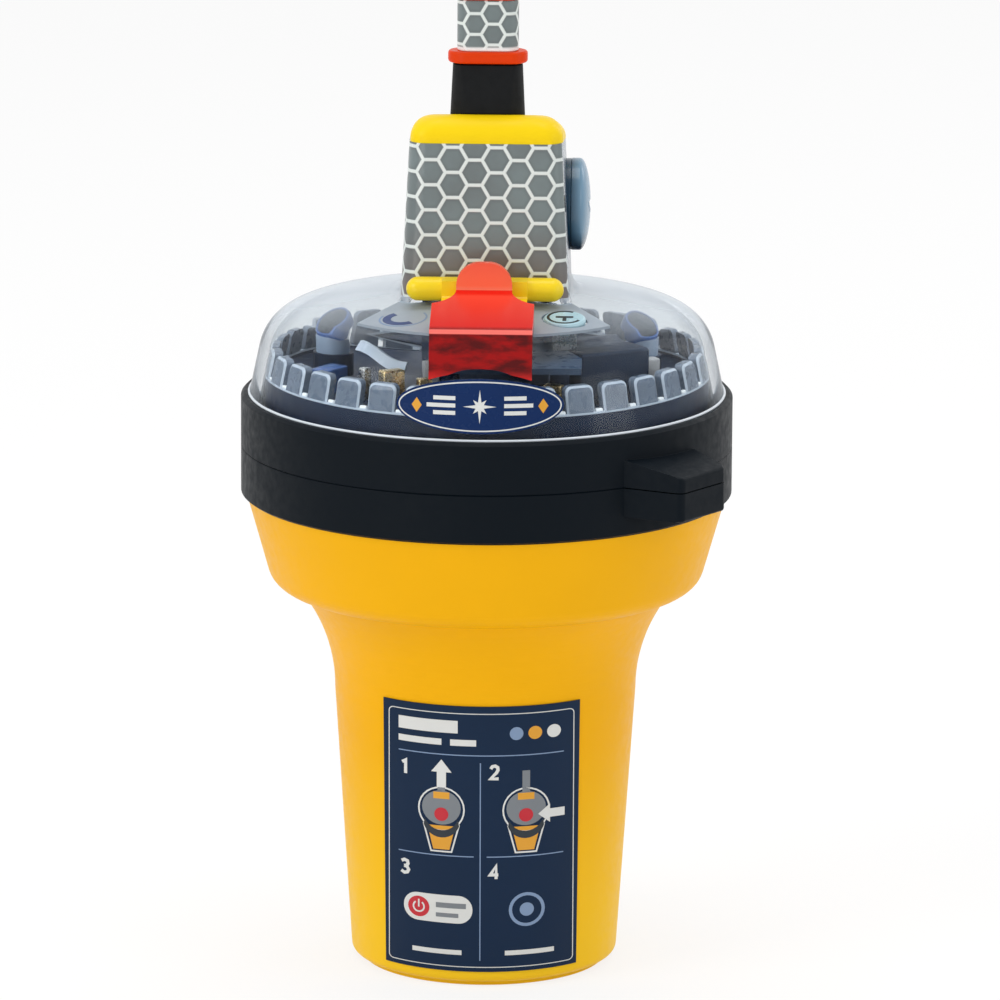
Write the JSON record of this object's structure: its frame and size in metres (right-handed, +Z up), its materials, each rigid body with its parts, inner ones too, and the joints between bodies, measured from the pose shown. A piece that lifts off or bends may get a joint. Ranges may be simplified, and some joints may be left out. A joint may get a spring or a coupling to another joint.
{
  "type": "emergency position beacon",
  "caption": "Hand-held floating distress beacon with a flared case, clear light dome, guarded switch and reel-up tape antenna.",
  "frame": {"origin": "centre of the flat foot", "axes": "+Z up along the case's axis, front with the label and the switch towards -Y, +X to the right of someone facing the front"},
  "size_m": [0.091, 0.0992, 0.1939],
  "materials": {
    "lower_case": "satin yellow moulded plastic",
    "collar_lower": "near-black navy moulded plastic",
    "collar_upper": "near-black navy moulded plastic",
    "lanyard_eye": "near-black navy moulded plastic",
    "seal_ring": "black silicone",
    "dome": "clear polycarbonate",
    "tower_cap": "yellow moulded plastic",
    "reflective_tape": "grey retro-reflective tape with pale hexagons",
    "antenna_boot": "black rubber",
    "reel_frame": "dark moulded plastic",
    "reel_bushes": "acetal",
    "chassis": "dark navy moulded plastic",
    "chassis_screws": "steel",
    "light_ring": "clear polycarbonate",
    "main_board": "green circuit board",
    "board_screws": "steel",
    "shield_cans": "tinned steel",
    "battery_socket": "ivory nylon",
    "battery_leads": "red insulated wire",
    "battery_tray": "dark moulded plastic",
    "lower_cells": "wrapped lithium cells",
    "cell_spacer": "dark moulded plastic",
    "upper_cells": "wrapped lithium cells",
    "battery_clamp": "dark moulded plastic",
    "cell_straps": "nickel",
    "satnav_antenna": "slate-grey ceramic",
    "strobe_lights": "white light body",
    "strobe_lenses": "dark clear lens",
    "infrared_light": "tinted lens",
    "feed_spring": "gold-plated brass",
    "key_board": "green circuit board",
    "key_switches": "steel",
    "keypad": "grey printed film",
    "badge": "dark blue printed film",
    "case_label": "dark blue printed film",
    "water_contacts": "stainless steel",
    "contact_nuts": "stainless steel",
    "pull_grip": "orange moulded plastic",
    "pull_sleeve": "grey retro-reflective tape with pale hexagons",
    "stop_ring": "orange moulded plastic",
    "antenna_blade": "black-coated spring steel",
    "reel": "grey acetal",
    "reel_axle": "steel",
    "antenna_coil": "black-coated spring steel",
    "rewind_knob": "blue-grey translucent plastic",
    "key_cover": "yellow moulded plastic",
    "safety_tab": "red translucent plastic",
    "on_button": "red moulded plastic",
    "test_button": "pale blue moulded plastic"
  },
  "bodies": {
    "root": {"lower_case": "lower_case", "collar_lower": "collar_lower", "collar_upper": "collar_upper", "lanyard_eye": "lanyard_eye", "seal_ring": "seal_ring", "dome": "dome", "tower_cap": "tower_cap", "reflective_tape": "reflective_tape", "antenna_boot": "antenna_boot", "reel_frame": "reel_frame", "reel_bushes": "reel_bushes", "chassis": "chassis", "chassis_screws": "chassis_screws", "light_ring": "light_ring", "main_board": "main_board", "board_screws": "board_screws", "shield_cans": "shield_cans", "battery_socket": "battery_socket", "battery_leads": "battery_leads", "battery_tray": "battery_tray", "lower_cells": "lower_cells", "cell_spacer": "cell_spacer", "upper_cells": "upper_cells", "battery_clamp": "battery_clamp", "cell_straps": "cell_straps", "satnav_antenna": "satnav_antenna", "strobe_lights": "strobe_lights", "strobe_lenses": "strobe_lenses", "infrared_light": "infrared_light", "feed_spring": "feed_spring", "key_board": "key_board", "key_switches": "key_switches", "keypad": "keypad", "badge": "badge", "case_label": "case_label", "water_contacts": "water_contacts", "contact_nuts": "contact_nuts"},
    "antenna": {"pull_grip": "pull_grip", "pull_sleeve": "pull_sleeve", "stop_ring": "stop_ring", "antenna_blade": "antenna_blade"},
    "reel": {"reel": "reel", "reel_axle": "reel_axle", "antenna_coil": "antenna_coil", "rewind_knob": "rewind_knob"},
    "key_cover": {"key_cover": "key_cover"},
    "safety_tab": {"safety_tab": "safety_tab"},
    "on_button": {"on_button": "on_button"},
    "test_button": {"test_button": "test_button"}
  },
  "joints": [
    {"name": "antenna_slide", "type": "slide", "parent": "root", "child": "antenna", "axis": [0, 0, 1], "range_m": [0, 0.17], "deforming": ["antenna_blade"]},
    {"name": "reel_turn", "type": "hinge", "parent": "root", "child": "reel", "pos_m": [0, 0.0032, 0.1425], "axis": [1, 0, 0], "range_deg": [-1626, 0]},
    {"name": "key_cover_slide", "type": "slide", "parent": "root", "child": "key_cover", "axis": [0, 0, 1], "range_m": [0, 0.018]},
    {"name": "safety_tab_pull", "type": "slide", "parent": "key_cover", "child": "safety_tab", "axis": [0, -0.9397, 0.342], "range_m": [0, 0.045]},
    {"name": "on_button_press", "type": "slide", "parent": "root", "child": "on_button", "axis": [0, 0.153, -0.9882], "range_m": [0, 0.0008], "stiffness_N_per_m": 1500},
    {"name": "test_button_press", "type": "slide", "parent": "root", "child": "test_button", "axis": [0, 0.153, -0.9882], "range_m": [0, 0.0008], "stiffness_N_per_m": 1500}
  ],
  "couplings": [
    {"joint": "reel_turn", "follows": "antenna_slide", "rad_per_m": -166.67}
  ]
}
